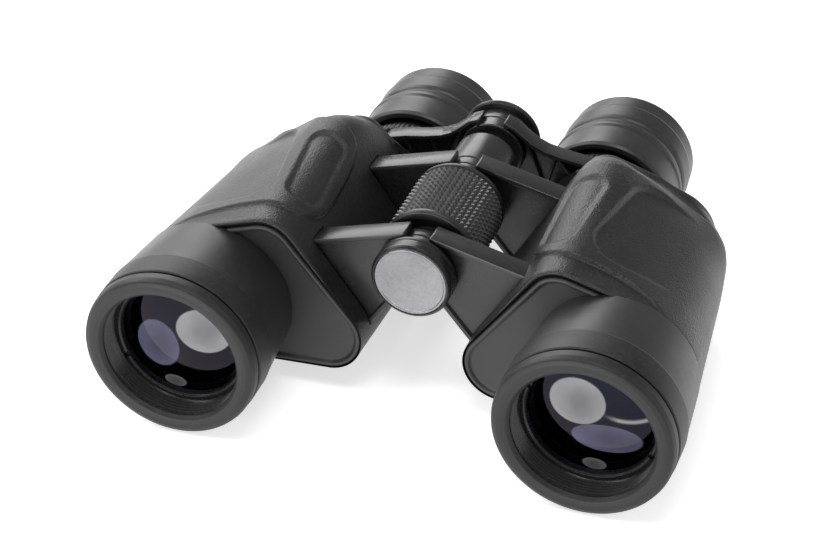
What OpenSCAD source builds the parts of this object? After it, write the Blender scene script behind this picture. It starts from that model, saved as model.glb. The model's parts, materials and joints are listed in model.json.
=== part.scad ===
// Porro-prism binoculars of the 8x40 class, with a centre focus wheel and a dioptre ring.
//
// Frame: +X across the pair towards the user's left, +Y from the objectives to the eyepieces,
// +Z up. The pair lies on its two objective barrels and its two eyecups, and the origin is on
// that surface under the middle of the pair. Inside the modules a station is a distance behind
// the front rims, and frame_shift moves it into the frame. Each side is modelled as the left
// one and mirrored for the right.

/* [Overall] */
// Length from the objective rims to the eyecup lips
overall_l = 157.4; // [157:0.1:158]
// Distance between the two objective axes
objective_spacing = 124; // [123:0.5:126]
// Distance between the two eyepiece axes in the pose shown
eyepiece_spacing = 64; // [63:0.5:65]
// Height of the hinge axis above the surface
hinge_z = 42.9; // [42.5:0.1:43.5]

/* [Objectives] */
// Radius of the barrel's widest band, which rests on the surface
barrel_r = 26.8; // [26.5:0.1:27]
// Radius of the barrel where it meets the front cover
barrel_root_r = 24.3; // [24:0.1:24.6]
// Radius of the filter thread in the barrel's mouth
thread_r = 20.6; // [20.4:0.1:20.7]
// Radius of the objective lens
lens_r = 20.1; // [19.8:0.1:20.2]

/* [Housings] */
// Thickness of the rubber armour
armour_t = 2.8; // [2.6:0.1:3]
// Thickness of the housing's metal wall
wall_t = 1.8; // [1.6:0.1:2]
// Thickness of the front and middle hinge arms along the hinge axis
arm_t = 7; // [6.6:0.1:7]
// Half the gap between the tops of the two arms
arm_gap = 3.8; // [3.6:0.1:4]

/* [Prisms] */
// Half the width of a prism
prism_w = 9.4; // [9:0.1:9.5]
// How far each prism shifts the light sideways
prism_shift = 21.5; // [21.3:0.1:21.6]

/* [Eyepieces] */
// Radius of the eyecup's main band, which rests on the surface
eyecup_r = 21.6; // [21.4:0.1:21.8]
// Outer radius of the eyepiece tube
tube_r = 11.4; // [11.2:0.1:11.4]
// Outer radius of the collar and of the dioptre ring
collar_r = 18.6; // [18.4:0.1:18.8]

/* [Hinge and focus] */
// Radius of the focus wheel over its grip
wheel_r = 14.4; // [14:0.1:14.6]
// Radius of the focus spindle
spindle_r = 4.5; // [4.4:0.1:4.6]
// Outer radius of the hinge cap
cap_r = 12.2; // [12:0.1:12.4]
// Radial clearance of every turning or sliding fit
fit_gap = 0.05; // [0.04:0.01:0.08]

/* [Hidden] */
$fn = 72;

// Axes, each as [x, z]
objective = [objective_spacing / 2, barrel_r];
eyepiece = [eyepiece_spacing / 2, eyecup_r];
hinge = [0, hinge_z];
offset_v = eyepiece - objective;
// The light between the two prisms: a right-angled step of equal legs above the other two axes
middle = (objective + eyepiece) / 2 + [offset_v[1], -offset_v[0]] / 2;

// Stations along the pair
rim_back = 5.2;
barrel_crease = 14;
cover_front = 35.5;
cover_back = 38;
armour_front = 34.6;
armour_back = 104.4;
rear_cover_front = 101;
rear_cover_back = 103.6;
front_arm = 42.2;
middle_arm = 83.5;
bridge_front = 110.2;
bridge_t = 9.8;
bridge_back = bridge_front + bridge_t;
ring_station = bridge_front + 2;
shelf_front = 62;
shelf_back = 66;
tube_front = 94;
tube_back = 124.3;
ocular_front = 104;
ocular_flange = 126.5;
ocular_back = 147;
wheel_front = 51.8;
wheel_back = 80.2;

// Hinge parts
hinge_lug_r = 10;
lug_gap = 0.35;
lap_gap = 0.1;
washer_gap = 0.2;
washer_r = 8;
pin_r = 5;
socket_r = 3.175;
stud_r = socket_r - fit_gap;
stud_back = 47.6;
hinge_sleeve_r = 6.5;
hinge_barrel_r = 10;
cap_front = 35.6;
cap_back = 41.4;
grip_inset = 1.2;
grip_depth = 3.2;
bridge_screw_r = 1.2;

// Objective and eyepiece parts
rim_stub_r = 23.5;
rim_seat = 2;
spigot_r = lens_r - 0.6;
cell_r = lens_r + 0.2;
thread_back = 8.6;
lens_seat = 18.2;
lens_ring_front = 8.8;
lens_ring_back = 11.5;
crown_back = 13.6;
tube_wall = 1.2;
ring_r = tube_r + 5.6;
eye_seat_r = 17;
field_r = 9.2;
eye_r = 10.8;
field_station = 108;
eye_station = 141;
eye_lens_back = 144.4;

// The housing's outline at four stations: each row is [station, circles], a circle is [x, z, r]
inner_x = eyepiece[0] - 4.5;
inner_z = eyepiece[1] - 2.6;
form_front = [
    [inner_x, inner_z, 12.4],
    [objective[0] - 0.2, objective[1] - 0.8, 25],
    [objective[0] - 17, objective[1] + 18, 12]
];
form_shoulder = [
    [inner_x, inner_z, 13.8],
    [objective[0] - 0.7, objective[1] - 1.2, 20],
    [objective[0] - 18.3, objective[1] + 21, 12]
];
form_turn = [
    [inner_x, inner_z, 13.8],
    [objective[0] + 8, objective[1] + 3, 10],
    [objective[0] - 18.8, objective[1] + 20, 12]
];
form_back = [
    [inner_x, inner_z, 13.6],
    [objective[0] - 9, objective[1] + 3, 18.5],
    [objective[0] - 23.6, objective[1] + 17.4, 7]
];
shoulder_station = 84;
turn_station = 95;
belly_front_z = 6;
belly_z = 3.6;

// The front cover's outline, which reaches nearly to the armour's edge at the inner corner
cover_outline = [
    [inner_x, inner_z, 11.4],
    [objective[0] - 0.2, objective[1] - 0.8, 25 - armour_t],
    [objective[0] - 17, objective[1] + 18, 12 - armour_t]
];
cover_floor_z = 6.4;
arc_step = 9;
armour_fit = 0.15;

// Rear cover screws, each as [x, z]
rear_screws = [
    [eyepiece[0], eyepiece[1] + 17.5],
    [eyepiece[0] + 15, eyepiece[1] - 1],
    [eyepiece[0] + 13, eyepiece[1] + 18]
];

// Strap lug
lug_x = objective[0] + 9.5;
lug_station = 98;
lug_z = 12.8;
lug_t = 3;
lug_end_r = 4.6;
lug_hole_r = 2.4;

// ---------- functions ----------

// Direction of the outward normal of the line that touches circles a and b
function edge_normal(a, b) =
    atan2(b[1] - a[1], b[0] - a[0]) - 90 + asin((a[2] - b[2]) / norm([b[0] - a[0], b[1] - a[1]]));

function positive(angle) = angle < 0 ? angle + 360 : angle;

// Points round the outside of circle i of the belt, from its first touching line to its next
function belt_arc(circles, i, grow) =
    let (
        n = len(circles),
        here = circles[i],
        start = edge_normal(circles[(i + n - 1) % n], here),
        sweep = positive(edge_normal(here, circles[(i + 1) % n]) - start),
        steps = max(1, ceil(sweep / arc_step))
    )
    [for (k = [0 : steps])
        let (a = start + sweep * k / steps)
        [here[0] + (here[2] + grow) * cos(a), here[1] + (here[2] + grow) * sin(a)]];

// A belt pulled tight round circles [x, y, r] in anticlockwise order, grown by some distance
function belt(circles, grow = 0) =
    [for (i = [0 : len(circles) - 1]) each belt_arc(circles, i, grow)];

// The same belt with its lowest stretch pressed flat at some height
function flat_belt(circles, grow, floor_z) =
    [for (p = belt(circles, grow)) [p[0], max(p[1], floor_z)]];

// ---------- placing ----------

// Moves a child from stations behind the rims into the frame
module frame_shift() {
    translate([0, -overall_l / 2, 0])
        children();
}

// Draws a child for the left side, or mirrors it for the right
module on_side(side) {
    frame_shift()
        mirror([side == "left" ? 0 : 1, 0, 0])
            children();
}

// Extrudes a flat outline in X and Z between two stations
module between(front, back) {
    translate([0, back, 0])
        rotate([90, 0, 0])
            linear_extrude(back - front)
                children();
}

// A rod along Y round an axis [x, z]
module rod(axis, r, front, back) {
    translate([axis[0], front, axis[1]])
        rotate([-90, 0, 0])
            cylinder(h = back - front, r = r);
}

// A solid turned round an axis [x, z] from points [radius, station]
module turned(axis, points) {
    translate([axis[0], 0, axis[1]])
        rotate([-90, 0, 0])
            rotate_extrude()
                polygon(points);
}

// A ring along Y
module ring(axis, inner, outer, front, back) {
    turned(axis, [[inner, front], [outer, front], [outer, back], [inner, back]]);
}

// ---------- housing ----------

module form_slab(station, circles, grow, floor_z, t = 0.1) {
    between(station - t, station)
        polygon(flat_belt(circles, grow, floor_z - grow));
}

// The body's outer shape, grown by some distance, open-ended for cutting
module form(grow) {
    hull() {
        form_slab(cover_front, form_front, grow, belly_front_z, 5);
        form_slab(shoulder_station, form_shoulder, grow, belly_z);
        form_slab(turn_station, form_turn, grow, belly_z);
        form_slab(armour_back + 1, form_back, grow, belly_z, 1);
    }
}

// Everything between two stations
module slice(front, back) {
    translate([-10, front, -10])
        cube([120, back - front, 90]);
}

module form_slice(grow, front, back) {
    intersection() {
        form(grow);
        slice(front, back);
    }
}

// Outline of a hinge arm from the housing to the hinge, without its lug
module arm_outline() {
    polygon([
        [arm_gap, hinge_z + 11.9],
        [arm_gap, hinge_z - 8],
        [7.8, hinge_z - 12.1],
        [14.2, hinge_z - 20.4],
        [20.5, hinge_z - 28.5],
        [36, hinge_z - 28.5],
        [36, hinge_z + 3.3]
    ]);
}

// One hinge arm. Its lug is half as thick as the arm, so that the two sides' lugs lap.
module hinge_arm(front, lug_front, bore) {
    back = front + arm_t;
    lug_back = lug_front + arm_t / 2 - lap_gap;
    other_front = lug_front == front ? lug_back : front - 1;
    other_back = lug_front == front ? back + 1 : lug_front;
    difference() {
        union() {
            between(front, back)
                arm_outline();
            rod(hinge, hinge_lug_r, lug_front, lug_back);
        }
        rod(hinge, hinge_lug_r + lug_gap, other_front, other_back);
        rod(hinge, bore, front - 1, back + 1);
    }
}

module arm_slots() {
    for (front = [front_arm, middle_arm])
        between(front, front + arm_t)
            arm_outline();
}

module prism_housing(side) {
    lap = arm_t / 2 + lap_gap;
    near = side == "left" ? lap : 0;
    play = side == "left" ? 0 : fit_gap;
    on_side(side)
        color("#2a2a2c")
            difference() {
                union() {
                    form_slice(-armour_t, cover_back, rear_cover_front);
                    hinge_arm(front_arm, front_arm + near, pin_r + play);
                    hinge_arm(middle_arm, middle_arm + near, hinge_sleeve_r + play);
                }
                form(-armour_t - wall_t);
            }
}

module cover_plate(front) {
    between(front, cover_back)
        polygon(flat_belt(cover_outline, 0, cover_floor_z));
}

module rubber_armour(side) {
    on_side(side)
        color("#232324")
            difference() {
                form_slice(0, armour_front, armour_back);
                form(-armour_t);
                cover_plate(armour_front - 1);
                arm_slots();
                strap_lug_plate();
                rod(objective, barrel_root_r + armour_fit, armour_front - 1, cover_front);
            }
}

module front_cover(side) {
    on_side(side)
        color("#303032")
            difference() {
                cover_plate(cover_front);
                rod(objective, spigot_r, cover_front - 1, cover_back + 1);
            }
}

module rear_cover(side) {
    sleeve_r = tube_r + fit_gap;
    sleeve_wall = 1.4;
    on_side(side)
        color("#2b2b2d")
            difference() {
                union() {
                    form_slice(-armour_t, rear_cover_front, rear_cover_back);
                    rod(eyepiece, sleeve_r + sleeve_wall, rear_cover_back, rear_cover_back + 4);
                    intersection() {
                        rod(eyepiece, sleeve_r + sleeve_wall, tube_front, rear_cover_front);
                        form(-armour_t - wall_t);
                    }
                }
                rod(eyepiece, sleeve_r, tube_front - 1, rear_cover_back + 5);
                for (at = rear_screws)
                    rod(at, 1, rear_cover_front - 1, rear_cover_back + 1);
            }
}

module rear_cover_screws(side) {
    on_side(side)
        color("#6a6a6c")
            for (at = rear_screws)
                difference() {
                    union() {
                        rod(at, 1, rear_cover_front, rear_cover_back);
                        rod(at, 1.9, rear_cover_back, rear_cover_back + 1);
                    }
                    translate([at[0] - 0.25, rear_cover_back + 0.5, at[1] - 1.3])
                        cube([0.5, 1, 2.6]);
                }
}

module strap_lug_plate() {
    translate([0, 0, lug_z - lug_t / 2])
        linear_extrude(lug_t)
            polygon(belt([
                [lug_x - 13, lug_station - 10, lug_end_r],
                [lug_x, lug_station, lug_end_r],
                [lug_x - 16, lug_station - 1, lug_end_r]
            ]));
}

// A flat eye low on the rear shoulder, for a neck strap's split ring
module strap_lug(side) {
    on_side(side)
        color("#2a2a2c")
            difference() {
                strap_lug_plate();
                translate([lug_x, lug_station, lug_z - lug_t])
                    cylinder(h = 2 * lug_t, r = lug_hole_r);
                form(-armour_t);
            }
}

// ---------- objective ----------

module objective_barrel(side) {
    bore_r = lens_r - 1.5;
    on_side(side)
        color("#2c2c2e")
            turned(objective, [
                [thread_r, rim_seat],
                [rim_stub_r, rim_seat],
                [rim_stub_r, rim_back],
                [barrel_r, rim_back],
                [barrel_r, barrel_crease],
                [barrel_root_r, cover_front],
                [spigot_r, cover_front],
                [spigot_r, cover_back],
                [bore_r - 0.6, cover_back],
                [bore_r, lens_seat],
                [cell_r, lens_seat],
                [cell_r, thread_back],
                [thread_r, thread_back]
            ]);
}

module objective_rim(side) {
    on_side(side)
        color("#3a3a3b")
            turned(objective, [
                [thread_r + 0.3, 1.3],
                [thread_r + 1.5, 0.2],
                [thread_r + 2.6, 0],
                [barrel_r - 2.4, 0],
                [barrel_r - 1.2, 0.3],
                [barrel_r - 0.4, 1.2],
                [barrel_r - 0.2, 2.4],
                [barrel_r - 0.2, rim_back],
                [rim_stub_r, rim_back],
                [rim_stub_r, rim_seat],
                [thread_r + 0.3, rim_seat]
            ]);
}

// Slotted ring that holds the objective lens against its seat
module retaining_ring(side) {
    on_side(side)
        color("#1c1c1d")
            difference() {
                ring(objective, cell_r - 1.6, cell_r, lens_ring_front, lens_ring_back);
                translate([objective[0], lens_ring_front + 0.4, objective[1]])
                    rotate([0, 25, 0])
                        cube([2 * cell_r + 2, 1.6, 1.6], center = true);
            }
}

// Points of a spherical lens face from the axis to a radius, bulging by sag towards the front
function lens_face(edge_station, sag, r, steps = 8) =
    [for (k = [0 : steps])
        let (q = r * k / steps)
        [q, edge_station - sag * (1 - q * q / (r * r))]];

function reversed(points) = [for (k = [len(points) - 1 : -1 : 0]) points[k]];

module crown_lens(side) {
    on_side(side)
        color("#7f86a8", 0.4)
            turned(objective, concat(
                lens_face(lens_ring_back + 0.3, 2.1, lens_r),
                reversed(lens_face(crown_back, -2.8, lens_r))
            ));
}

module flint_lens(side) {
    on_side(side)
        color("#7f86a8", 0.4)
            turned(objective, concat(
                lens_face(crown_back, -2.8, lens_r),
                [[lens_r, lens_seat], [0, lens_seat]]
            ));
}

// ---------- prisms ----------

// Places a child so that its X runs from one axis [x, z] to another and its origin is halfway
module along(from, to) {
    d = to - from;
    mid = (from + to) / 2;
    translate([mid[0], 0, mid[1]])
        rotate([0, -atan2(d[1], d[0]), 0])
            children();
}

// The round-ended outline that a prism is ground to, from front to back
module prism_outline(front, back) {
    half = prism_shift / 2;
    between(front, back)
        polygon(belt([[half, 0, prism_w], [-half, 0, prism_w]]));
}

// A roof with its long face at a station and its ridge at depth, pointing by sign along Y
module roof(base, sign, reach, depth, half_w) {
    translate([0, 0, -half_w])
        linear_extrude(2 * half_w)
            polygon([[-reach, base], [reach, base], [0, base + sign * depth]]);
}

module prism(from, to, base, sign) {
    color("#b8c4cc", 0.4)
        along(from, to)
            intersection() {
                roof(base, sign, prism_shift, prism_shift, prism_w);
                prism_outline(base - prism_shift - 1, base + prism_shift + 1);
            }
}

module front_prism(side) {
    on_side(side)
        prism(middle, eyepiece, shelf_front, -1);
}

module rear_prism(side) {
    on_side(side)
        prism(objective, middle, shelf_back, 1);
}

module prism_shelf(side) {
    window_r = prism_w - 0.9;
    on_side(side)
        color("#4a4a4c")
            difference() {
                form_slice(-armour_t - wall_t, shelf_front, shelf_back);
                for (axis = [objective, middle, eyepiece])
                    rod(axis, window_r, shelf_front - 1, shelf_back + 1);
            }
}

// A sheet-metal strap over a prism's ridge
module clip(from, to, base, sign) {
    strap_w = 2.5;
    strap_t = 0.9;
    along(from, to)
        difference() {
            roof(base, sign, prism_shift + strap_t, prism_shift + strap_t, strap_w);
            roof(base, sign, prism_shift, prism_shift, strap_w + 1);
        }
}

module prism_clips(side) {
    on_side(side)
        color("#8a8a8c") {
            clip(middle, eyepiece, shelf_front, -1);
            clip(objective, middle, shelf_back, 1);
        }
}

// ---------- eyepiece and bridge ----------

// Outline of a bridge arm: a swan neck from over the hinge down to the eyepiece
module bridge_outline() {
    polygon([
        [arm_gap, hinge_z + 11.4],
        [arm_gap, hinge_z - 8],
        [7, hinge_z - 9.5],
        [eyepiece[0] - 14, eyepiece[1] + 8],
        [eyepiece[0] - 4, eyepiece[1] + 14.6],
        [eyepiece[0] + 7, eyepiece[1] + 15.4],
        [eyepiece[0] + 3, eyepiece[1] + 20.6],
        [eyepiece[0] - 3.4, eyepiece[1] + 22.2],
        [22, hinge_z + 1.9],
        [17, hinge_z + 3.1],
        [13.5, hinge_z + 4.7],
        [10.4, hinge_z + 7.1],
        [7.3, hinge_z + 9.9]
    ]);
}

module bridge_arm(side) {
    lap = bridge_t / 2;
    left = side == "left";
    lug_front = left ? bridge_front + lap + lap_gap : bridge_front;
    lug_back = lug_front + lap - lap_gap;
    other_front = left ? bridge_front - 1 : lug_back;
    other_back = left ? lug_front : bridge_back + 1;
    bore = left ? spindle_r : spindle_r + fit_gap;
    on_side(side)
        color("#2a2a2c")
            difference() {
                union() {
                    between(bridge_front, bridge_back)
                        bridge_outline();
                    rod(hinge, hinge_lug_r, lug_front, lug_back);
                    rod(eyepiece, ring_r, ring_station, bridge_back);
                }
                rod(hinge, hinge_lug_r + lug_gap, other_front, other_back);
                rod(hinge, bore, bridge_front - 1, bridge_back + 1);
                rod(eyepiece, tube_r, bridge_front - 1, bridge_back + 1);
            }
}

module eyepiece_tube(side) {
    on_side(side)
        color("#3a3a3c")
            ring(eyepiece, tube_r - tube_wall, tube_r, tube_front, tube_back);
}

// The knurled ring behind the bridge arm: fixed on the left, the dioptre ring on the right
module collar(side) {
    play = side == "left" ? 0 : fit_gap;
    front = bridge_back + 0.3;
    on_side(side)
        color("#262627")
            turned(eyepiece, [
                [tube_r + play, front],
                [collar_r - 0.6, front],
                [collar_r, front + 0.6],
                [collar_r, tube_back - 0.6],
                [collar_r - 0.6, tube_back],
                [tube_r + play, tube_back]
            ]);
}

module ocular_barrel(side) {
    barrel_outer = tube_r - tube_wall - fit_gap;
    step = eye_station - 3;
    on_side(side)
        color("#1e1e1f")
            turned(eyepiece, [
                [field_r, ocular_front],
                [barrel_outer, ocular_front],
                [barrel_outer, ocular_flange],
                [eye_seat_r, ocular_flange],
                [eye_seat_r, ocular_back],
                [eye_r, ocular_back],
                [eye_r, step],
                [field_r, step]
            ]);
}

module field_lens(side) {
    on_side(side)
        color("#7f86a8", 0.4)
            turned(eyepiece, concat(
                lens_face(field_station, 1.5, field_r),
                [[field_r, field_station + 2.5], [0, field_station + 2.5]]
            ));
}

module eye_lens(side) {
    on_side(side)
        color("#7f86a8", 0.4)
            turned(eyepiece, concat(
                lens_face(eye_station, 0.8, eye_r),
                reversed(lens_face(eye_lens_back, -1.6, eye_r))
            ));
}

module eye_lens_ring(side) {
    on_side(side)
        color("#1c1c1d")
            ring(eyepiece, eye_r - 1, eye_r, eye_lens_back + 0.3, ocular_back);
}

module eyecup(side) {
    band_front = 125;
    groove = 142;
    lip_r = eyecup_r - 0.85;
    on_side(side)
        color("#2a2a2b")
            turned(eyepiece, [
                [19.3, band_front],
                [eyecup_r - 0.6, band_front],
                [eyecup_r, band_front + 1.2],
                [eyecup_r, groove - 4],
                [eyecup_r - 0.8, groove - 1.5],
                [eyecup_r - 0.8, groove + 0.5],
                [eyecup_r - 0.2, groove + 2],
                [eyecup_r - 0.3, groove + 8],
                [lip_r, overall_l - 1.5],
                [lip_r - 1.2, overall_l],
                [lip_r - 2.6, overall_l],
                [lip_r - 4, overall_l - 1.5],
                [14, ocular_back + 2],
                [eye_r, ocular_back + 1.6],
                [eye_r, ocular_back],
                [eye_seat_r, ocular_back],
                [eye_seat_r, ocular_flange + 3],
                [19.3, ocular_flange + 1]
            ]);
}

// ---------- hinge and focus ----------

module front_hinge_pin() {
    frame_shift()
        color("#8c8c8f")
            difference() {
                rod(hinge, pin_r, front_arm - lap_gap, front_arm + arm_t + lap_gap);
                rod(hinge, socket_r, front_arm - 1, stud_back + 0.6);
            }
}

// Cap that screws into the tripod socket
module hinge_cap() {
    frame_shift()
        color("#9a9a9d")
            turned(hinge, [
                [0, cap_front],
                [cap_r - 0.8, cap_front],
                [cap_r, cap_front + 0.8],
                [cap_r, cap_back],
                [stud_r, cap_back],
                [stud_r, stud_back],
                [0, stud_back]
            ]);
}

module hinge_cap_washer() {
    frame_shift()
        color("#1a1a1a")
            ring(hinge, stud_r + 0.1, hinge_lug_r - 0.5, cap_back, front_arm - washer_gap);
}

module front_thrust_washer() {
    frame_shift()
        color("#77777a")
            ring(hinge, spindle_r + fit_gap, washer_r, front_arm + arm_t + lap_gap, wheel_front - washer_gap);
}

module rear_thrust_washer() {
    frame_shift()
        color("#77777a")
            ring(hinge, spindle_r + fit_gap, washer_r, wheel_back + washer_gap, middle_arm - washer_gap);
}

// Tube through the middle arms that the spindle slides in, with a barrel behind them
module hinge_tube() {
    step = middle_arm + arm_t + lap_gap;
    tube_end = 106.6;
    frame_shift()
        color("#2c2c2e")
            turned(hinge, [
                [spindle_r + fit_gap, middle_arm],
                [hinge_sleeve_r, middle_arm],
                [hinge_sleeve_r, step],
                [hinge_barrel_r, step],
                [hinge_barrel_r, tube_end - 1.6],
                [hinge_barrel_r - 0.4, tube_end - 0.6],
                [hinge_barrel_r - 1.2, tube_end],
                [spindle_r + fit_gap, tube_end]
            ]);
}

module focus_wheel_core() {
    core_r = wheel_r - grip_depth;
    frame_shift()
        color("#3a3a3c")
            turned(hinge, [
                [spindle_r + fit_gap, wheel_front],
                [wheel_r - 1.2, wheel_front],
                [wheel_r - 0.6, wheel_front + grip_inset],
                [core_r, wheel_front + grip_inset],
                [core_r, wheel_back - grip_inset],
                [wheel_r - 0.6, wheel_back - grip_inset],
                [wheel_r - 1.2, wheel_back],
                [spindle_r + fit_gap, wheel_back]
            ]);
}

module focus_wheel_grip() {
    frame_shift()
        color("#1d1d1e")
            ring(hinge, wheel_r - grip_depth, wheel_r, wheel_front + grip_inset, wheel_back - grip_inset);
}

module focus_spindle() {
    spindle_front = 56;
    frame_shift()
        color("#a0a0a4")
            difference() {
                rod(hinge, spindle_r, spindle_front, bridge_back + 0.2);
                rod(hinge, bridge_screw_r, bridge_back - 8, bridge_back + 1);
            }
}

module bridge_cap() {
    cap_end = bridge_back + 2.3;
    disc_r = 12.4;
    frame_shift()
        color("#2a2a2c")
            turned(hinge, [
                [bridge_screw_r, bridge_back + 0.2],
                [disc_r, bridge_back + 0.2],
                [disc_r, cap_end - 0.8],
                [disc_r - 0.8, cap_end],
                [3.2, cap_end],
                [3.2, cap_end - 1.2],
                [bridge_screw_r, cap_end - 1.2]
            ]);
}

module bridge_cap_screw() {
    head_front = bridge_back + 1.1;
    frame_shift()
        color("#8c8c8f")
            difference() {
                union() {
                    rod(hinge, bridge_screw_r, bridge_back - 7, head_front);
                    rod(hinge, 2.9, head_front, head_front + 1.3);
                }
                translate([-2, head_front + 0.8, hinge_z - 0.3])
                    cube([4, 1, 0.6]);
            }
}

prism_housing("left");  // left_prism_housing
rubber_armour("left");  // left_rubber_armour
front_cover("left");  // left_front_cover
rear_cover("left");  // left_rear_cover
rear_cover_screws("left");  // left_rear_cover_screws
strap_lug("left");  // left_strap_lug
objective_barrel("left");  // left_objective_barrel
objective_rim("left");  // left_objective_rim
retaining_ring("left");  // left_retaining_ring
crown_lens("left");  // left_crown_lens
flint_lens("left");  // left_flint_lens
front_prism("left");  // left_front_prism
rear_prism("left");  // left_rear_prism
prism_shelf("left");  // left_prism_shelf
prism_clips("left");  // left_prism_clips
bridge_arm("left");  // left_bridge_arm
eyepiece_tube("left");  // left_eyepiece_tube
collar("left");  // left_eyepiece_collar
ocular_barrel("left");  // left_ocular_barrel
field_lens("left");  // left_field_lens
eye_lens("left");  // left_eye_lens
eye_lens_ring("left");  // left_eye_lens_ring
eyecup("left");  // left_eyecup
prism_housing("right");  // right_prism_housing
rubber_armour("right");  // right_rubber_armour
front_cover("right");  // right_front_cover
rear_cover("right");  // right_rear_cover
rear_cover_screws("right");  // right_rear_cover_screws
strap_lug("right");  // right_strap_lug
objective_barrel("right");  // right_objective_barrel
objective_rim("right");  // right_objective_rim
retaining_ring("right");  // right_retaining_ring
crown_lens("right");  // right_crown_lens
flint_lens("right");  // right_flint_lens
front_prism("right");  // right_front_prism
rear_prism("right");  // right_rear_prism
prism_shelf("right");  // right_prism_shelf
prism_clips("right");  // right_prism_clips
bridge_arm("right");  // right_bridge_arm
eyepiece_tube("right");  // right_eyepiece_tube
collar("right");  // right_dioptre_ring
ocular_barrel("right");  // right_ocular_barrel
field_lens("right");  // right_field_lens
eye_lens("right");  // right_eye_lens
eye_lens_ring("right");  // right_eye_lens_ring
eyecup("right");  // right_eyecup
front_hinge_pin();
hinge_cap();
hinge_cap_washer();
front_thrust_washer();
rear_thrust_washer();
hinge_tube();
focus_wheel_core();
focus_wheel_grip();
focus_spindle();
bridge_cap();
bridge_cap_screw();
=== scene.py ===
import json
import math

import bmesh
import bpy
import numpy as np
from mathutils import Matrix, Vector


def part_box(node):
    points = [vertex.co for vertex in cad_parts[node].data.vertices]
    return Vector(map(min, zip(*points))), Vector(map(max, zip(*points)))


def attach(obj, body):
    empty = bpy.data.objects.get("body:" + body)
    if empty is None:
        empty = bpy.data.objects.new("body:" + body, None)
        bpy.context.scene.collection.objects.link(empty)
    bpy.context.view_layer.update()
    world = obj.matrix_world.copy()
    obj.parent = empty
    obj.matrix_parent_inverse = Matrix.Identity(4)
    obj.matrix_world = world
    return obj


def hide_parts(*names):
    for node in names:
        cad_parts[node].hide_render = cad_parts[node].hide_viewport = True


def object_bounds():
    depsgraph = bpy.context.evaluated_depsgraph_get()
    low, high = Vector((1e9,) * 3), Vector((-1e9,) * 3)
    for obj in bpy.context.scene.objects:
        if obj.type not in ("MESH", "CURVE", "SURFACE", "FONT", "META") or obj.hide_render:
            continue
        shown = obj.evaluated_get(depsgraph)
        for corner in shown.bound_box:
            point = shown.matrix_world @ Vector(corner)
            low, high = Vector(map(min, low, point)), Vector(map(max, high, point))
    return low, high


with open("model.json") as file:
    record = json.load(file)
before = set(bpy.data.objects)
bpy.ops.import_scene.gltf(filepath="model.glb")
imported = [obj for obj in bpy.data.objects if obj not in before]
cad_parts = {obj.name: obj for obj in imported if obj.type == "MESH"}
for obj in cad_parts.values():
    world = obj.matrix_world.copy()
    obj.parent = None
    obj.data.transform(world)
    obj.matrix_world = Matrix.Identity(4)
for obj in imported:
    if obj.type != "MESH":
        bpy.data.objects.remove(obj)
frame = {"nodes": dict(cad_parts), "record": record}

# Porro-prism binoculars, lying on their barrels and eyecups. Shapes are worked out in millimetres
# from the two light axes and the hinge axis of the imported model: a station is a distance behind the
# objective rims. Each side is made as the left one and mirrored for the right.

MM = 0.001
CAD_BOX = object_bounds()
FRONT = CAD_BOX[0].y / MM


def node_axis(node):
    """The x and z of a round node's axis, in millimetres."""
    lo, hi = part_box(node)
    return ((lo.x + hi.x) / 2 / MM, (lo.z + hi.z) / 2 / MM)


def node_stations(node):
    """The first and last station of a node."""
    lo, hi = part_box(node)
    return (lo.y / MM - FRONT, hi.y / MM - FRONT)


OBJECTIVE = node_axis("left_objective_rim")
EYEPIECE = node_axis("left_eyecup")
HINGE = node_axis("hinge_cap")
SIDES = {"left": 1, "right": -1}

# ---------- meshes ----------


def add_object(name, mesh):
    made = bpy.data.objects.new(name, mesh)
    bpy.context.scene.collection.objects.link(made)
    return made


def finish_mesh(mesh, sharp=35):
    """Outward normals, no double points, smooth faces with sharp edges above an angle."""
    work = bmesh.new()
    work.from_mesh(mesh)
    bmesh.ops.remove_doubles(work, verts=work.verts, dist=1e-7)
    bmesh.ops.recalc_face_normals(work, faces=work.faces)
    work.to_mesh(mesh)
    work.free()
    mesh.shade_smooth()
    mesh.set_sharp_from_angle(angle=math.radians(sharp))


def solid(name, points, faces, side=1, sharp=35):
    """A mesh object from points [x, station, z] in millimetres, mirrored for the right side."""
    co = np.array(points, float)
    co[:, 0] *= side
    co[:, 1] += FRONT
    mesh = bpy.data.meshes.new(name)
    mesh.from_pydata((co * MM).tolist(), [], faces)
    finish_mesh(mesh, sharp)
    return add_object(name, mesh)


def place(piece, body, material, replaced=()):
    """Gives a piece its body and material, and hides the CAD nodes that it stands for."""
    piece.data.materials.clear()
    piece.data.materials.append(material)
    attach(piece, body)
    if replaced:
        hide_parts(*replaced)
    return piece


def grid_faces(rows, columns, wrap_rows=False):
    """Quads between rows of points, closed round each row, and from last row to first on request."""
    last = rows if wrap_rows else rows - 1
    return [
        (
            i * columns + j,
            i * columns + (j + 1) % columns,
            (i + 1) % rows * columns + (j + 1) % columns,
            (i + 1) % rows * columns + j,
        )
        for i in range(last)
        for j in range(columns)
    ]


def loops_solid(name, loops, side=1, sharp=35, ends="cap"):
    """A solid through loops. Its end loops are capped, joined together, or run to a point."""
    columns = len(loops[0])
    points = np.vstack(loops)
    faces = grid_faces(len(loops), columns, wrap_rows=ends == "join")
    if ends == "cap":
        faces.append(tuple(range(columns)))
        faces.append(tuple(range(len(points) - columns, len(points))))
    return solid(name, points, faces, side, sharp)


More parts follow.
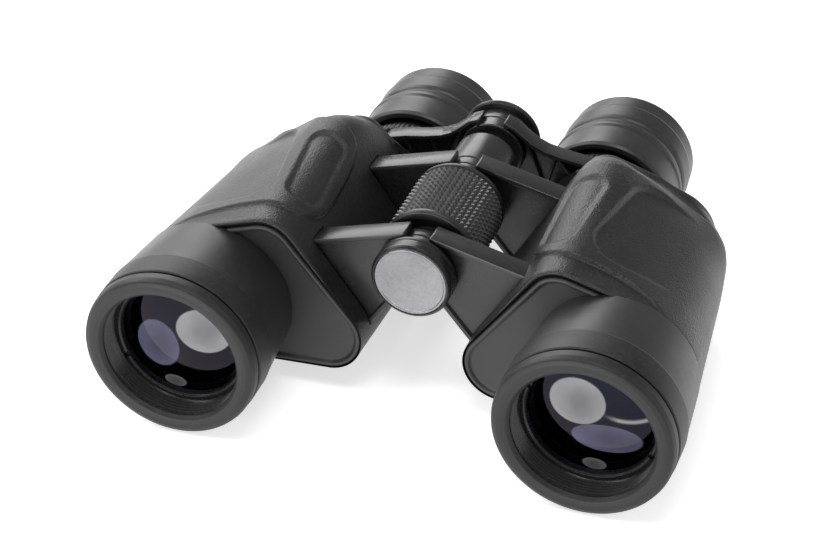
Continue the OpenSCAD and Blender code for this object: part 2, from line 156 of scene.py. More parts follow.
def fillet(outline, radius, steps=4):
    """Rounds the corners of a closed outline. A third number in a corner is a radius of its own."""
    rounded = []
    for k, corner in enumerate(outline):
        here = np.array(corner[:2], float)
        back = np.array(outline[k - 1][:2], float) - here
        on = np.array(outline[(k + 1) % len(outline)][:2], float) - here
        b, o = np.linalg.norm(back), np.linalg.norm(on)
        r = corner[2] if len(corner) > 2 else radius
        turn = math.acos(max(-1, min(1, float(back @ on) / (b * o))))
        if r <= 0 or turn > math.radians(172):
            rounded.append(here)
            continue
        reach = min(r / math.tan(turn / 2), 0.45 * b, 0.45 * o)
        start, end = here + back / b * reach, here + on / o * reach
        for t in np.linspace(0, 1, steps + 1):
            rounded.append((1 - t) ** 2 * start + 2 * t * (1 - t) * here + t**2 * end)
    return np.array(rounded)


def full_turn(count):
    return np.linspace(0, 2 * math.pi, count, endpoint=False)


def angles_from(hub, outline):
    return np.arctan2(outline[:, 1] - hub[1], outline[:, 0] - hub[0])


def round_at(hub, r, angles):
    """Points round a hub at given angles, with one radius or a radius for each."""
    return np.c_[hub[0] + r * np.cos(angles), hub[1] + r * np.sin(angles)]


def at_station(outline, station):
    return np.c_[outline[:, 0], np.full(len(outline), station), outline[:, 1]]


def lathe(name, axis, outline, side=1, segments=128, radius=0.25, sharp=35, steps=3):
    """A closed outline of [radius, station] turned round an axis, with its corners rounded."""
    turned = fillet(outline, radius, steps)
    angles = full_turn(segments)
    loops = [at_station(round_at(axis, r, angles), station) for r, station in turned]
    ends = "join" if min(turned[:, 0]) > 1e-6 else "point"
    return loops_solid(name, loops, side, sharp, ends)


def block(name, outline, front, back, side):
    return loops_solid(name, [at_station(outline, front), at_station(outline, back)], side)


def inset(outline, distance):
    """A closed anticlockwise outline moved inwards."""
    on = np.roll(outline, -1, axis=0) - outline
    normals = np.c_[-on[:, 1], on[:, 0]]
    normals /= np.linalg.norm(normals, axis=1)[:, None]
    corner = normals + np.roll(normals, 1, axis=0)
    corner /= np.linalg.norm(corner, axis=1)[:, None]
    lean = np.maximum(0.5, (corner * normals).sum(1))
    return outline + corner * (distance / lean)[:, None]


def closed_run(outline):
    """A closed outline with its first point again at its end, and the length run to each point."""
    closed = np.vstack([outline, outline[:1]])
    return closed, np.r_[0, np.cumsum(np.linalg.norm(np.diff(closed, axis=0), axis=1))]


def even(outline, count):
    """The same closed outline as evenly spaced points."""
    closed, run = closed_run(outline)
    at = np.linspace(0, run[-1], count, endpoint=False)
    return np.c_[np.interp(at, run, closed[:, 0]), np.interp(at, run, closed[:, 1])]


def keep_off(outline, hub, r):
    """An outline pushed outwards where it comes nearer to a hub than r."""
    off = outline - np.array(hub)
    return np.array(hub) + off * np.maximum(1, r / np.linalg.norm(off, axis=1))[:, None]


def plate(name, corners, radius, front, back, side=1, edge=0.4, rim=0, pockets=(0, 0)):
    """A plate between two stations, with soft edges, and a pocket in each face inside a rim."""

    def ring(distance, station):
        moved = inset(np.array([c[:2] for c in corners], float), distance)
        radii = [c[2] if len(c) > 2 else radius for c in corners]
        return at_station(fillet([(*p, r) for p, r in zip(moved, radii)], radius), station)

    soft = [(edge, 0), (0.3 * edge, 0.3 * edge), (0, edge)]
    step = [(rim + 0.4, 1.0), (rim + 0.1, 0.7), (rim, 0.3), (rim - 0.25, 0)]
    loops = []
    if pockets[0]:
        loops += [ring(d, front + pockets[0] * t) for d, t in step]
    loops += [ring(d, front + s) for d, s in soft]
    loops += [ring(d, back - s) for d, s in reversed(soft)]
    if pockets[1]:
        loops += [ring(d, back - pockets[1] * t) for d, t in reversed(step)]
    return loops_solid(name, loops, side)


def join(name, pieces):
    """Joins solids into one piece."""
    for o in bpy.context.selected_objects:
        o.select_set(False)
    for o in pieces:
        o.select_set(True)
    bpy.context.view_layer.objects.active = pieces[0]
    bpy.ops.object.join()
    pieces[0].name = name
    pieces[0].data.name = name
    return pieces[0]


def cut(piece, cutters, sharp=35):
    """Takes closed solids away from a piece."""
    for cutter in cutters:
        knife = piece.modifiers.new("cut", "BOOLEAN")
        knife.operation = "DIFFERENCE"
        knife.solver = "EXACT"
        knife.object = cutter
    depsgraph = bpy.context.evaluated_depsgraph_get()
    mesh = bpy.data.meshes.new_from_object(piece.evaluated_get(depsgraph))
    piece.modifiers.clear()
    piece.data = mesh
    for cutter in cutters:
        bpy.data.objects.remove(cutter)
    finish_mesh(mesh, sharp)
    return piece


# ---------- the housing's form ----------

INNER_X = EYEPIECE[0] - 4.5
INNER_Z = EYEPIECE[1] - 2.6
OX, OZ = OBJECTIVE
# Station, floor height, then the inner, outer and top circles that a belt is drawn round
FORM = [
    (35.5, 6.0, (INNER_X, INNER_Z, 12.4), (OX - 0.2, OZ - 0.8, 25.0), (OX - 17.0, OZ + 18.0, 12.0)),
    (84.0, 3.6, (INNER_X, INNER_Z, 13.8), (OX - 0.7, OZ - 1.2, 20.0), (OX - 18.3, OZ + 21.0, 12.0)),
    (95.0, 3.6, (INNER_X, INNER_Z, 13.8), (OX + 8.0, OZ + 3.0, 10.0), (OX - 18.8, OZ + 20.0, 12.0)),
    (105.4, 3.6, (INNER_X, INNER_Z, 13.6), (OX - 9.0, OZ + 3.0, 18.5), (OX - 23.6, OZ + 17.4, 7.0)),
]
HUB = (OX - 17.0, OZ)
BLEND = 4.0  # half the length over which one stretch of the form runs into the next
ARMOUR_T = 2.8


def form_at(station):
    """The floor height and the three circles at a station, smoothed along the form."""
    stations = [row[0] for row in FORM]
    near = np.linspace(station - BLEND, station + BLEND, 9)
    inside = np.clip(near, stations[0], stations[-1])

    def mean(values):
        return float(np.mean(np.interp(inside, stations, values)))

    circles = [[mean([row[2 + c][i] for row in FORM]) for i in range(3)] for c in range(3)]
    return mean([row[1] for row in FORM]), circles


def edge_normal(a, b):
    """The angle of the outward normal of the line that touches circles a and b."""
    apart = math.hypot(b[0] - a[0], b[1] - a[1])
    return math.atan2(b[1] - a[1], b[0] - a[0]) - math.pi / 2 + math.asin((a[2] - b[2]) / apart)


def belt(circles, floor, soft=0.8, arc=60):
    """A belt round circles, pressed flat at a floor height, clockwise from over its last circle."""
    points = []
    for k, here in enumerate(circles):
        start = edge_normal(circles[k - 1], here)
        sweep = (edge_normal(here, circles[(k + 1) % len(circles)]) - start) % (2 * math.pi)
        a = start + sweep * np.linspace(0, 1, arc)
        points.append(np.c_[here[0] + here[2] * np.cos(a), here[1] + here[2] * np.sin(a)])
    points = np.vstack(points)
    above = points[:, 1] - floor
    points[:, 1] = floor + (above + np.sqrt(above**2 + soft**2)) / 2
    top = np.array([circles[-1][0], circles[-1][1] + circles[-1][2]])
    first = int(np.argmin(np.linalg.norm(points - top, axis=1)))
    points[first] = top
    return np.roll(np.roll(points, -first, axis=0)[::-1], 1, axis=0)


def form_ring(station, grow, count):
    """The form's outline at a station, moved outwards."""
    floor, circles = form_at(station)
    grown = [(x, z, r + grow) for x, z, r in circles]
    return even(belt(grown, floor - grow), count)


def under_armour(circles, gap):
    """The circles under the armour, which is thin at the inner corner."""
    return [(x, z, r - t - gap) for (x, z, r), t in zip(circles, (1.0, ARMOUR_T, ARMOUR_T))]


def lining_ring(station, gap):
    """The metal's outline under the armour, which is thin underneath too."""
    floor, circles = form_at(station)
    return belt(under_armour(circles, gap), floor + 0.4 + gap)


def same_directions(outline, hub, angles):
    """The points of an outline seen from a hub at given angles."""
    seen = angles_from(hub, outline)
    reach = np.hypot(outline[:, 0] - hub[0], outline[:, 1] - hub[1])
    order = np.argsort(seen)
    r = np.interp(angles, seen[order], reach[order], period=2 * math.pi)
    return round_at(hub, r, angles)


# ---------- the armour's relief ----------

# Closed curves on the unrolled armour, as [station, distance outwards from the top line]
PAD = [
    (50, -15.5), (60, -15.9), (70, -15.2), (79, -13.9), (85, -10.5), (88.2, -4.5), (90, 2),
    (92, 9), (94.5, 17), (97, 26), (97, 36), (94, 45), (86, 50.5), (70, 51.5), (50, 51),
    (36, 50.5), (31, 46), (31, 38), (36, 32), (41, 26), (43, 18), (43.6, 11), (43, 4),
    (42.8, -2), (43.8, -8), (46, -12.5),
]
# The rests are belts round circles in the same two directions
THUMB_REST = [(53.6, -7.6, 5.0), (75.6, -5.4, 5.0), (76.2, -2.4, 5.2), (53.4, -5.2, 5.2)]
OUTER_REST = [(56.6, 13.2, 9.0), (79.5, 21.5, 12.0), (79.5, 32.0, 12.0), (60.0, 32.0, 12.0)]
PAD_H = 1.1
THUMB_REST_D = 1.0
OUTER_REST_D = 1.25


def closed_curve(corners, soften, spacing=0.5):
    """Corners joined into a closed curve and rounded off by averaging over a distance."""
    corners = np.array(corners, float)
    length = np.linalg.norm(np.roll(corners, -1, axis=0) - corners, axis=1).sum()
    curve = even(corners, int(length / spacing))
    reach = int(soften / spacing)
    for _ in range(3):
        curve = sum(np.roll(curve, k, axis=0) for k in range(-reach, reach + 1)) / (2 * reach + 1)
    return curve


def depth_inside(points, curve):
    """How far points lie inside a closed curve, negative outside."""
    a, b = curve, np.roll(curve, -1, axis=0)
    run = b - a
    least = np.full(len(points), 1e9)
    inside = np.zeros(len(points), bool)
    for start, step, end in zip(a, run, b):
        rel = points - start
        t = np.clip(rel @ step / (step @ step), 0, 1)
        least = np.minimum(least, np.hypot(*(rel - t[:, None] * step).T))
        crosses = (start[1] > points[:, 1]) != (end[1] > points[:, 1])
        if step[1]:
            x = start[0] + (points[:, 1] - start[1]) * step[0] / step[1]
            inside ^= crosses & (points[:, 0] < x)
    return np.where(inside, least, -least)


def smooth_step(low, high, values):
    t = np.clip((values - low) / (high - low), 0, 1)
    return t * t * (3 - 2 * t)


PAD_CURVE = closed_curve(PAD, 2.5)
THUMB_CURVE = belt(THUMB_REST, -99.0, soft=0.0, arc=24)
OUTER_CURVE = belt(OUTER_REST, -99.0, soft=0.0, arc=24)


def relief(stations, outward):
    """The armour's height over its form."""
    points = np.c_[stations, outward]
    pad = smooth_step(-0.4, 0.5, depth_inside(points, PAD_CURVE))
    fades = smooth_step(18, 34, outward)
    thumb = smooth_step(-0.7, 1.7, depth_inside(points, THUMB_CURVE))
    rest = smooth_step(-0.5, 1.8, depth_inside(points, OUTER_CURVE))
    rest *= 1 - smooth_step(14, 34, outward)
    return PAD_H * (pad * (1 - 0.6 * fades) - 0.55) - THUMB_REST_D * thumb - OUTER_REST_D * rest


# ---------- materials ----------


def add_node(tree, kind, inputs=None, **settings):
    """Adds a shader node. An input is given a value, or the output that feeds it."""
    made = tree.nodes.new("ShaderNode" + kind)
    for key, value in settings.items():
        setattr(made, key, value)
    for key, value in (inputs or {}).items():
        if isinstance(value, bpy.types.NodeSocket):
            tree.links.new(value, made.inputs[key])
        else:
            made.inputs[key].default_value = value
    return made


def noise(tree, where, size, detail=3.0, **settings):
    """Noise whose features are about a size in millimetres."""
    inputs = {"Vector": where, "Scale": 1 / (size * MM), "Detail": detail}
    return add_node(tree, "TexNoise", inputs, **settings).outputs["Fac"]


def spread(tree, value, low, high, start=0.3, end=0.7):
    """A value between start and end, stretched to lie between low and high."""
    inputs = {"Value": value, 1: start, 2: end, 3: low, 4: high}
    return add_node(tree, "MapRange", inputs).outputs["Result"]


def times(tree, a, b):
    return add_node(tree, "Math", {0: a, 1: b}, operation="MULTIPLY").outputs[0]


def plus(tree, a, b):
    return add_node(tree, "Math", {0: a, 1: b}, operation="ADD").outputs[0]


def vector(tree, operation, *values):
    """Vector maths, whose result is a number for a length or a dot product."""
    made = add_node(tree, "VectorMath", dict(enumerate(values)), operation=operation)
    return made.outputs["Value" if operation in ("LENGTH", "DOT_PRODUCT") else "Vector"]


def mixed(tree, share, a, b):
    """Colour a with a share of colour b."""
    inputs = {"Factor": share, "A": a, "B": b}
    return add_node(tree, "Mix", inputs, data_type="RGBA").outputs["Result"]


def object_place(tree):
    return add_node(tree, "TexCoord").outputs["Object"]


def from_axis(tree, where, x, z):
    """The vector in X and Z from an axis along Y, given in millimetres."""
    part = add_node(tree, "SeparateXYZ", {0: where}).outputs
    flat = add_node(tree, "CombineXYZ", {0: part["X"], 1: part["Z"]}).outputs[0]
    return vector(tree, "ADD", flat, (-x * MM, -z * MM, 0))


def edges(tree, radius, low=0.02, high=0.25):
    """How near a point is to a sharp edge, from 0 to 1."""
    soft = add_node(tree, "Bevel", {"Radius": radius * MM}, samples=4).outputs[0]
    flat = add_node(tree, "NewGeometry").outputs["Normal"]
    return spread(tree, vector(tree, "DOT_PRODUCT", soft, flat), 1, 0, 1 - high, 1 - low)


def new_material(name):
    """A new material, its node tree and its shader."""
    made = bpy.data.materials.new(name)
    made.use_nodes = True
    return made, made.node_tree, made.node_tree.nodes["Principled BSDF"]


def look(
    name, grey, roughness, *, tint=(1.0, 1.0, 1.03), metallic=0.0, grain=0.0, grain_size=0.4,
    grain_kind="noise", swell=0.0, wear=0.0, wear_grey=0.2, mottle=0.15, dust=0.0, **sockets,
):
    """A worn surface: mottled colour and roughness, a grained or pebbled bump, paler edges, dust."""
    made, tree, shader = new_material(name)
    where = object_place(tree)
    broad = noise(tree, where, 14, 4.0)
    fine = noise(tree, where, 1.3, 5.0)
    level = times(
        tree,
        spread(tree, broad, grey * (1 - mottle), grey * (1 + mottle)),
        spread(tree, fine, 1 - 0.6 * mottle, 1 + 0.6 * mottle),
    )
    rough = plus(
        tree,
        spread(tree, broad, roughness - 0.04, roughness + 0.04),
        spread(tree, fine, -0.03, 0.03),
    )
    if dust:
        up = add_node(tree, "NewGeometry").outputs["Normal"]
        up = add_node(tree, "SeparateXYZ", {0: up}).outputs["Z"]
        specks = times(tree, spread(tree, up, 0, 1, 0.2, 1), spread(tree, fine, 0, dust, 0.52, 0.7))
        level = plus(tree, level, specks)
    if wear:
        rubbed = times(tree, edges(tree, 0.5), spread(tree, fine, 0.2, 1))
        level = plus(tree, level, times(tree, rubbed, wear * wear_grey))
        rough = plus(tree, rough, times(tree, rubbed, -0.1 * wear))
    shade = add_node(tree, "CombineXYZ", {0: level, 1: level, 2: level}).outputs[0]
    tree.links.new(vector(tree, "MULTIPLY", shade, tint), shader.inputs["Base Color"])
    tree.links.new(rough, shader.inputs["Roughness"])
    height = times(tree, fine, 0.15 * grain)
    if grain_kind == "cells":
        cells = add_node(
            tree, "TexVoronoi", {"Vector": where, "Scale": 1 / (grain_size * MM)}
        ).outputs["Distance"]
        height = plus(tree, height, times(tree, cells, -grain))
    else:
        height = plus(tree, height, times(tree, noise(tree, where, grain_size, 2.0), grain))
    if swell:
        height = plus(tree, height, times(tree, noise(tree, where, 7, 1.0), swell))
    bump = add_node(
        tree, "Bump", {"Height": height, "Distance": MM, "Strength": 1.0}
    ).outputs[0]
    tree.links.new(bump, shader.inputs["Normal"])
    shader.inputs["Metallic"].default_value = metallic
    for socket, value in sockets.items():
        shader.inputs[socket.replace("_", " ")].default_value = value
    return made


def turned_look(name, grey, roughness, axis, *, fineness=0.12, depth=0.04, **settings):
    """A machined surface with fine rings round an axis, seen on its faces, and round its sides."""
    made = look(name, grey, roughness, **settings)
    tree = made.node_tree
    where = object_place(tree)
    reach = vector(tree, "LENGTH", from_axis(tree, where, *axis))
    along = add_node(tree, "SeparateXYZ", {0: where}).outputs["Y"]
    run = plus(tree, reach, along)
    rings = add_node(
        tree,
        "TexNoise",
        {"W": run, "Scale": 1 / (fineness * MM), "Detail": 2.0},
        noise_dimensions="1D",
    ).outputs["Fac"]
    bump = next(n for n in tree.nodes if n.type == "BUMP")
    height = bump.inputs["Height"].links[0].from_socket
    height = plus(tree, height, times(tree, rings, depth))
    tree.links.new(height, bump.inputs["Height"])
    shader = tree.nodes["Principled BSDF"]
    rough = shader.inputs["Roughness"].links[0].from_socket
    rough = plus(tree, rough, spread(tree, rings, -0.06, 0.06))
    tree.links.new(rough, shader.inputs["Roughness"])
    return made


def glass_look(name, tint, film=0.0):
    """Optical glass. A film thickness in nanometres gives it a coating's coloured reflections."""
    made, tree, shader = new_material(name)
    where = object_place(tree)
    smear = noise(tree, where, 6, 4.0)
    speck = noise(tree, where, 0.5, 2.0)
    rough = plus(tree, spread(tree, smear, 0.0, 0.01), spread(tree, speck, 0.0, 0.02, 0.7, 0.8))
    tree.links.new(rough, shader.inputs["Roughness"])
    shade = mixed(tree, smear, tint, tuple(0.9 * c for c in tint[:3]) + (1,))
    tree.links.new(shade, shader.inputs["Base Color"])
    shader.inputs["Transmission Weight"].default_value = 1.0
    shader.inputs["IOR"].default_value = 1.52
    if film:
        shader.inputs["Thin Film Thickness"].default_value = film
        shader.inputs["Thin Film IOR"].default_value = 1.38
    return made


# Painted reflections on each objective, colour standing in for light sent back off its inner faces:
# x and z from its axis, the patch's half-width and half-height, and its colour
PALE, BLUE, FAINT = (0.3, 0.3, 0.3), (0.09, 0.088, 0.14), (0.11, 0.11, 0.11)
PAINTED_REFLECTIONS = {
    1: [(-3.9, 5.2, 8.4, 7.6, PALE), (4.6, -6.0, 10.4, 5.0, BLUE), (0.8, -16.6, 3.6, 2.4, FAINT)],
    -1: [(7.4, 4.4, 8.6, 7.4, PALE), (-7.4, -2.6, 7.0, 8.4, BLUE), (-3.6, -16.2, 3.6, 2.4, FAINT)],
}


def painted_reflection_mask(tree, where, x, z, wide, high):
    """1 inside an ellipse round a point in X and Z, with a fairly crisp edge, where a reflection is
    painted.
    """
    scale = (1 / (wide * MM), 1 / (high * MM), 0)
    reach = vector(tree, "LENGTH", vector(tree, "MULTIPLY", from_axis(tree, where, x, z), scale))
    body = spread(tree, reach, 0.75, 0.95, 0.2, 0.9)
    return times(tree, body, spread(tree, reach, 1, 0, 0.95, 1.02))


def painted_highlight_ring(tree, where, x, z, r, wide):
    """1 along a circle round a point in X and Z, where a highlight on an inner edge is painted."""
    reach = vector(tree, "LENGTH", from_axis(tree, where, x, z))
    gap = add_node(tree, "Math", {0: plus(tree, reach, -r * MM)}, operation="ABSOLUTE")
    return spread(tree, gap.outputs[0], 1, 0, 0.2 * wide * MM, wide * MM)


def lens_look(name):
    """Coated glass with reflections painted into its colour where its inner faces would send light
    back.
    """
    made = glass_look(name, (0.012, 0.012, 0.016, 1), film=114.0)
    tree = made.node_tree
    shader = tree.nodes["Principled BSDF"]
    where = object_place(tree)
    part = add_node(tree, "SeparateXYZ", {0: where})
    on_face = (FRONT + 13) * MM
    in_front = spread(tree, part.outputs["Y"], 1, 0, on_face, on_face + MM)
    cloud = spread(tree, noise(tree, where, 9, 2.0), 0.85, 1.0)
    colour = shader.inputs["Base Color"].links[0].from_socket
    # A painted highlight along an arc on the outer half of each lens.
    outer_half = spread(tree, part.outputs["X"], 0, 1, (OX + 3) * MM, (OX + 8) * MM)
    arc = times(tree, painted_highlight_ring(tree, where, OX + 10, OZ + 15.5, 14.5, 1.2), outer_half)
    masks = [(arc, PALE)]
    for side, painted_patches in PAINTED_REFLECTIONS.items():
        for x, z, wide, high, tint in painted_patches:
            masks.append((painted_reflection_mask(tree, where, side * OX + x, OZ + z, wide, high), tint))
    clear = None
    # Each mask paints a reflection's colour into the glass and lowers its transmission by as much.
    for mask, tint in masks:
        mask = times(tree, times(tree, mask, cloud), in_front)
        colour = mixed(tree, mask, colour, (*tint, 1))
        gone = plus(tree, times(tree, mask, -1.0), 1.0)
        clear = gone if clear is None else times(tree, clear, gone)
    tree.links.new(colour, shader.inputs["Base Color"])
    tree.links.new(clear, shader.inputs["Transmission Weight"])
    return made


def record_looks():
    """One material per slot of the record."""
    return {
        "armour_rubber": look(
            "armour_rubber", 0.013, 0.4, grain=0.11, grain_size=0.5, grain_kind="cells",
            mottle=0.2, dust=0.01, Specular_IOR_Level=0.42,
        ),
        "cover_paint": look(
            "cover_paint", 0.024, 0.5, grain=0.012, grain_size=0.16, wear=0.5, wear_grey=0.1,
            mottle=0.12, dust=0.01,
        ),
        "arm_paint": look(
            "arm_paint", 0.014, 0.3, grain=0.004, grain_size=0.3, wear=0.25, wear_grey=0.06,
            mottle=0.08,
            Specular_IOR_Level=0.55,
        ),
        "barrel_paint": turned_look(
            "barrel_paint", 0.014, 0.43, OBJECTIVE, fineness=0.3, depth=0.006, grain=0.01,
            grain_size=0.2, wear=0.35, wear_grey=0.12, dust=0.006,
        ),
        "rim_rubber": look(
            "rim_rubber", 0.014, 0.5, grain=0.012, grain_size=0.25, mottle=0.2, dust=0.012,
            Specular_IOR_Level=0.35,
        ),
        "black_anodised": look("black_anodised", 0.014, 0.28, grain=0.004, wear=0.15, metallic=0.3),
        "coated_glass": lens_look("coated_glass"),
        "prism_glass": glass_look("prism_glass", (0.9, 0.96, 0.95, 1)),
        "shelf_metal": look("shelf_metal", 0.08, 0.5, grain=0.04, metallic=0.6, wear=0.4),
        "spring_steel": look("spring_steel", 0.4, 0.3, grain=0.01, metallic=1.0, wear=0.3),
        "tube_metal": turned_look("tube_metal", 0.05, 0.34, EYEPIECE, metallic=0.7, wear=0.4),
        "collar_plastic": look("collar_plastic", 0.018, 0.44, grain=0.015, wear=0.3, dust=0.01),
        "ocular_plastic": look("ocular_plastic", 0.015, 0.5, grain=0.02),
        "eyecup_rubber": look(
            "eyecup_rubber", 0.018, 0.42, grain=0.012, grain_size=0.3, mottle=0.22, dust=0.008
        ),
        "pin_steel": turned_look("pin_steel", 0.5, 0.26, HINGE, metallic=1.0, wear=0.3),
        "cap_metal": turned_look(
            "cap_metal", 0.27, 0.3, HINGE, fineness=0.1, depth=0.03, metallic=1.0,
            Anisotropic=0.6,
        ),
        "washer_plastic": look("washer_plastic", 0.02, 0.45, grain=0.015),
        "wheel_plastic": look("wheel_plastic", 0.014, 0.36, grain=0.012, wear=0.5, wear_grey=0.1),
        "grip_rubber": look("grip_rubber", 0.05, 0.3, grain=0.006, wear=0.6, wear_grey=0.12),
        "dark_screw": look("dark_screw", 0.13, 0.3, grain=0.01, metallic=1.0, wear=0.5),
    }


# ---------- what the record says about each node ----------

BODY = {n: b for b, nodes in frame["record"]["behaviour"]["bodies"].items() for n in nodes}
LOOKS = record_looks()
CAST = look(
    "cast_paint", 0.014, 0.3, grain=0.05, grain_size=0.7, swell=0.5, wear=0.4, wear_grey=0.1
)
SLOT_OF = {part["node"]: part["material_slot"] for part in frame["record"]["subparts"]}
SLOT_OF["hinge_cap"] = "black_anodised"  # its brushed face is a piece of its own


def stands_for(piece, node, slot=None):
    """A piece rides with a CAD node's body, takes its slot's look and is shown in its place."""
    slot = slot or SLOT_OF[node]
    return place(piece, BODY[node], LOOKS[slot], [node])


# ---------- objectives ----------

BARREL_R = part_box("left_objective_barrel")[1].z / MM - OBJECTIVE[1]
THREAD_R = BARREL_R - 6.2
LENS_R = BARREL_R - 6.7


def barrel(name, side):
    """The barrel's cone, which carries on from its band without a step."""
    outline = [
        (23.4, 14.0), (BARREL_R - 0.04, 14.0, 0.05), (BARREL_R - 0.2, 14.5, 0.3),
        (24.5, 35.2, 0.3), (24.1, 35.7, 0.3), (23.4, 35.7),
    ]
    return lathe(name, OBJECTIVE, outline, side, 160, radius=0.08)


def barrel_band(name, side):
    """The matt band between the rim and the cone."""
    outline = [
        (23.5, 5.45), (BARREL_R - 0.3, 5.45, 0.15), (BARREL_R, 5.9, 0.2), (BARREL_R, 13.98, 0.02),
        (23.5, 13.98),
    ]
    return lathe(name, OBJECTIVE, outline, side, 160, radius=0.1)


def barrel_bore(name, side):
    """The black inside: a filter thread, the lens's seat and a stepped bore behind it."""
    thread, baffles = [], []
    for k in range(5):
        thread += [(THREAD_R, 8.2 - 1.24 * k, 0), (THREAD_R + 0.7, 7.58 - 1.24 * k, 0)]
    for k in range(9):
        baffles += [(18.5, 19.8 + 1.9 * k, 0.05), (17.7, 21.4 + 1.9 * k, 0.05)]
    outline = [
        *thread, (THREAD_R + 0.1, 2.0), (23.3, 2.0), (23.3, 35.6), (19.5, 35.6), (19.5, 38.0),
        (18.0, 38.0), *reversed(baffles), (18.6, 18.2), (20.3, 18.2), (20.3, 8.7),
    ]
    return lathe(name, OBJECTIVE, outline, side, 160, radius=0.08, sharp=30)


def rim(name, side):
    outline = [
        (THREAD_R + 0.3, 2.0, 0.1), (THREAD_R + 0.3, 1.5, 0.5), (THREAD_R + 1.3, 0.35, 1.0),
        (THREAD_R + 2.8, 0.0, 1.4), (BARREL_R - 2.2, 0.0, 1.6), (BARREL_R - 0.7, 0.7, 1.2),
        (BARREL_R - 0.2, 2.3, 1.2), (BARREL_R - 0.2, 4.6, 0.5), (BARREL_R - 0.7, 5.2, 0.3),
        (23.5, 5.2), (23.5, 2.0, 0.1),
    ]
    return lathe(name, OBJECTIVE, outline, side, 160, radius=0.2, steps=5)


def bar(name, wide, high, turn, front, back, side):
    """A bar across an objective, turned about its axis."""
    c, s = math.cos(math.radians(turn)), math.sin(math.radians(turn))
    corners = [(-wide, -high), (wide, -high), (wide, high), (-wide, high)]
    outline = np.array([(OX + (c * x - s * z) / 2, OZ + (s * x + c * z) / 2) for x, z in corners])
    return block(name, outline, front, back, side)


def retaining_ring(name, side):
    outline = [(18.8, 9.3, 0.3), (19.3, 8.8), (20.2, 8.8), (20.2, 11.5), (18.8, 11.5)]
    made = lathe(name, OBJECTIVE, outline, side, 160, radius=0.1)
    return cut(made, [bar("slot", 44, 1.7, -25, 7.9, 9.9, side)])


def lens_points(station, sag, r, steps=14):
    """A spherical face from the axis to its edge, bulging by sag towards the front."""
    return [(r * k / steps, station - sag * (1 - (k / steps) ** 2), 0) for k in range(steps + 1)]


def doublet(name, side):
    front = lens_points(12.0, 2.6, LENS_R)
    back = lens_points(18.0, -0.4, LENS_R - 0.2)
    return lathe(name, OBJECTIVE, front + back[::-1], side, 128, radius=0.1)


# ---------- housings ----------


def cover_ring(count, grow=0.0):
    """The front cover's outline, parallel to the housing's front outline."""
    return even(belt(under_armour(FORM[0][2:], -grow), 6.4 - grow), count)


RING = 480
FIRST_RING = 36.6
LAST_RING = 102.8
SKIN = 2.4


def unroll(ring):
    """Each point's distance outwards from the top line, negative on the inner side."""
    _, run = closed_run(ring)
    outward = run[:-1]
    return np.where(outward > run[-1] / 2, outward - run[-1], outward)


def skin_ring(station):
    """The armour's outline at a station, with its relief."""
    ring = form_ring(station, 0.0, RING)
    s = unroll(ring)
    return ring + outward_normals(ring) * relief(np.full(RING, station), s)[:, None]


def outward_normals(ring):
    """Outward normals of a clockwise ring."""
    along = np.roll(ring, -1, axis=0) - np.roll(ring, 1, axis=0)
    normals = np.c_[-along[:, 1], along[:, 0]]
    return normals / np.linalg.norm(normals, axis=1)[:, None]


def armour_loops():
    """The armour's loops: its skin, the roll at its back, its inside and the lip at its front."""
    stations = np.r_[np.arange(FIRST_RING, 98, 0.42), np.arange(98, LAST_RING, 0.6)]
    rings = [(skin_ring(s), s) for s in stations]
    first, last = rings[0][0], rings[-1][0]
    mouth = same_directions(cover_ring(RING, 0.3), HUB, angles_from(HUB, first))
    tail = same_directions(lining_ring(LAST_RING, 0.2), HUB, angles_from(HUB, last))
    lip = [(0.0, 35.9), (0.06, 35.3), (0.16, 34.85), (0.34, 34.6), (0.55, 34.7), (0.8, 35.1)]
    front = [(first + (mouth - first) * t, s) for t, s in lip]
    front += [(mouth, 35.9), (mouth, 38.2), (form_ring(38.6, -SKIN, RING), 38.6)]
    roll = [(0.0, 103.4), (0.08, 103.95), (0.25, 104.35), (0.5, 104.4), (0.8, 104.1), (1.0, 103.4)]
    back = [(last + (tail - last) * t, s) for t, s in roll]
    back.append((form_ring(LAST_RING, -SKIN, RING), 102.0))
    inner = [(form_ring(s, -SKIN, RING), s) for s in np.arange(100, 39, -4.0)]
    return [at_station(r, s) for r, s in front[::-1] + rings + back + inner]


def armour(name, side):
    """Rubber armour with thumb rests pressed into a raised pad, rolled over at both ends."""
    made = loops_solid(name, ARMOUR_LOOPS, side, sharp=50, ends="join")
    slots = [
        arm_block(f"slot_{k}", a - 0.3, a + ARM_T + 0.3, 0.3, side)
        for k, a in enumerate(ARM_FRONTS)
    ]
    slots.append(lug_block("lug_slot", 0.15, side))
    return cut(made, slots, 78)


ARMOUR_LOOPS = armour_loops()


def shell(name, side):
    """The metal housing under the armour, open at both ends."""
    outer = [(form_ring(s, -ARMOUR_T, 200), s) for s in np.linspace(38.3, 100.9, 24)]
    inner = [(form_ring(s, -ARMOUR_T - 1.8, 200), s) for s in np.linspace(100.9, 38.3, 24)]
    loops = [at_station(r, s) for r, s in outer + inner]
    return loops_solid(name, loops, side, ends="join")


def cover(name, side, edge, hub, keep, lean, rim_rows, hub_rows, sharp):
    """A plate from rows [distance in from an outline, station] to rows [radius, station]."""
    angles = angles_from(hub, edge)
    inward = -outward_normals(edge)
    loops = [(keep_off(edge + inward * d, hub, keep - lean * d), s) for d, s in rim_rows]
    loops += [(round_at(hub, r, angles), s) for r, s in hub_rows]
    return loops_solid(name, [at_station(r, s) for r, s in loops], side, sharp, ends="join")


def front_cover(name, side):
    """A smooth plate with a rounded bead round its edge."""
    bead = [
        (0.1, 38.0), (0.1, 35.5), (0.14, 35.1), (0.35, 34.72), (0.75, 34.5), (1.15, 34.55),
        (1.5, 34.8), (1.75, 35.15), (2.0, 35.4), (2.5, 35.5),
    ]
    hole = [(19.7, 35.55), (19.6, 38.0)]
    return cover(name, side, cover_ring(360), OBJECTIVE, 19.9, 0.0, bead, hole, 60)


